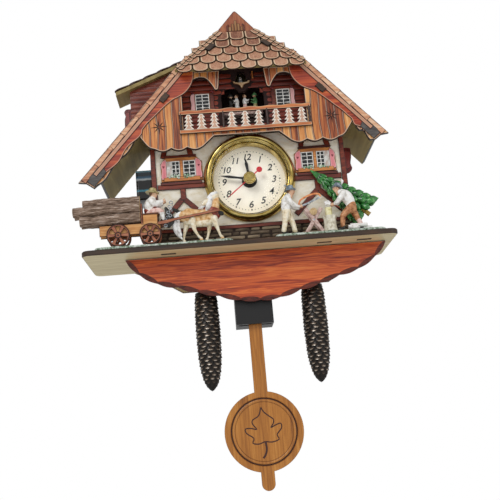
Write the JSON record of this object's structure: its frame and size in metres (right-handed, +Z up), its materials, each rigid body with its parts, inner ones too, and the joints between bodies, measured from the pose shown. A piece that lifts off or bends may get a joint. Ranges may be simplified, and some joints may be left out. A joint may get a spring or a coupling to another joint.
{
  "type": "cuckoo clock",
  "caption": "Battery cuckoo clock shaped as a chalet on a shelf, with a round brass-rimmed dial, carved figures, a pendulum and two cone weights.",
  "frame": {"origin": "top of the hanging keyhole's slot, on the rear face of the back panel, which lies against the wall", "axes": "+Z up, +Y into the wall, so the front faces -Y; +X to the right as seen from the front"},
  "size_m": [0.2475, 0.075, 0.3904],
  "materials": {
    "printed_plywood": "printed satin",
    "stucco_print": "printed satin",
    "plain_plywood": "plain laser-cut birch",
    "roof_plywood": "printed matt",
    "red_wood": "printed satin",
    "apron_wood": "satin varnish",
    "pendulum_wood": "satin varnish",
    "brass": "polished lacquered",
    "clear_lens": "clear",
    "dial_print": "matt print",
    "black_abs": "moulded",
    "gloss_black": "gloss",
    "white_nylon": "moulded",
    "battery_sleeve": "gloss sleeve",
    "copper": "enamelled wire",
    "circuit": "laminate",
    "hand_black": "satin",
    "hand_red": "satin",
    "steel": "plain",
    "cone_bronze": "bronzed",
    "figure_paint": "painted resin",
    "fir_green": "painted resin",
    "figure_wood": "painted resin"
  },
  "bodies": {
    "house": {"shelf_plate": "plain_plywood", "back_panel": "plain_plywood", "front_wall": "stucco_print", "left_wall": "stucco_print", "right_wall": "stucco_print", "gable_front": "printed_plywood", "roof_left": "roof_plywood", "roof_right": "roof_plywood", "half_hip_roof": "printed_plywood", "top_gable": "printed_plywood", "balcony_floor": "red_wood", "balcony_railing": "printed_plywood", "dormer_walls": "red_wood", "dormer_roof": "roof_plywood", "right_shutter": "red_wood", "dormer_shutter": "red_wood", "sound_module": "gloss_black", "apron_front": "apron_wood", "apron_rear": "plain_plywood", "bezel": "brass", "lens": "clear_lens", "dial": "dial_print", "insert_case": "black_abs", "insert_back": "black_abs", "clock_battery": "battery_sleeve", "coil": "copper", "circuit_board": "circuit", "drive_case": "black_abs", "drive_battery": "battery_sleeve", "drive_coil": "copper", "pivot_pin": "steel", "left_cone_hook": "brass", "right_cone_hook": "brass", "log_wagon": "figure_wood", "log_stack": "figure_wood", "wagon_driver": "figure_paint", "horse": "figure_paint", "sawyer": "figure_paint", "saw_horse": "figure_wood", "chopping_block": "figure_wood", "woodcutter": "figure_paint", "fir_tree": "fir_green", "dancers": "figure_paint", "cuckoo": "figure_paint"},
    "second_train": {"second_hand": "hand_red", "seconds_wheel": "white_nylon"},
    "minute_train": {"minute_hand": "hand_black", "minute_wheel": "brass"},
    "hour_train": {"hour_hand": "hand_black", "hour_wheel": "white_nylon"},
    "setting_train": {"minute_work_wheel": "white_nylon", "setting_knob": "black_abs"},
    "third_train": {"third_wheel": "white_nylon"},
    "motor_rotor": {"rotor": "steel"},
    "pendulum_body": {"pendulum_hanger": "white_nylon", "pendulum": "pendulum_wood"},
    "left_weight": {"left_cone": "cone_bronze"},
    "right_weight": {"right_cone": "cone_bronze"},
    "cover_body": {"drive_cover": "black_abs"}
  },
  "joints": [
    {"name": "second_hand_turn", "type": "hinge", "parent": "house", "child": "second_train", "pos_m": [0, -0.042, -0.0918], "axis": [0, 1, 0], "continuous": true},
    {"name": "minute_hand_turn", "type": "hinge", "parent": "house", "child": "minute_train", "pos_m": [0, -0.042, -0.0918], "axis": [0, 1, 0], "continuous": true},
    {"name": "hour_hand_turn", "type": "hinge", "parent": "house", "child": "hour_train", "pos_m": [0, -0.042, -0.0918], "axis": [0, 1, 0], "continuous": true},
    {"name": "setting_knob_turn", "type": "hinge", "parent": "house", "child": "setting_train", "pos_m": [0, -0.042, -0.0778], "axis": [0, 1, 0], "continuous": true},
    {"name": "third_wheel_turn", "type": "hinge", "parent": "house", "child": "third_train", "pos_m": [-0.012, -0.036, -0.0918], "axis": [0, 1, 0], "continuous": true},
    {"name": "rotor_turn", "type": "hinge", "parent": "house", "child": "motor_rotor", "pos_m": [0.0095, -0.036, -0.1013], "axis": [0, 1, 0], "continuous": true},
    {"name": "pendulum_swing", "type": "hinge", "parent": "house", "child": "pendulum_body", "pos_m": [-0.0054, -0.04, -0.165], "axis": [0, 1, 0], "range_deg": [-9, 9]},
    {"name": "left_weight_swing", "type": "hinge", "parent": "house", "child": "left_weight", "pos_m": [-0.0416, -0.036, -0.1716], "axis": [0, 1, 0], "range_deg": [-8, 8]},
    {"name": "right_weight_swing", "type": "hinge", "parent": "house", "child": "right_weight", "pos_m": [0.0416, -0.036, -0.1716], "axis": [0, 1, 0], "range_deg": [-8, 8]},
    {"name": "drive_cover_slide", "type": "slide", "parent": "house", "child": "cover_body", "axis": [0, 0, -1], "range_m": [0, 0.03]}
  ],
  "couplings": [
    {"joint": "minute_hand_turn", "follows": "second_hand_turn", "ratio": 0.016667},
    {"joint": "hour_hand_turn", "follows": "second_hand_turn", "ratio": 0.0013889},
    {"joint": "setting_knob_turn", "follows": "second_hand_turn", "ratio": -0.0055556},
    {"joint": "third_wheel_turn", "follows": "second_hand_turn", "ratio": -0.13333},
    {"joint": "rotor_turn", "follows": "second_hand_turn", "ratio": -10}
  ]
}
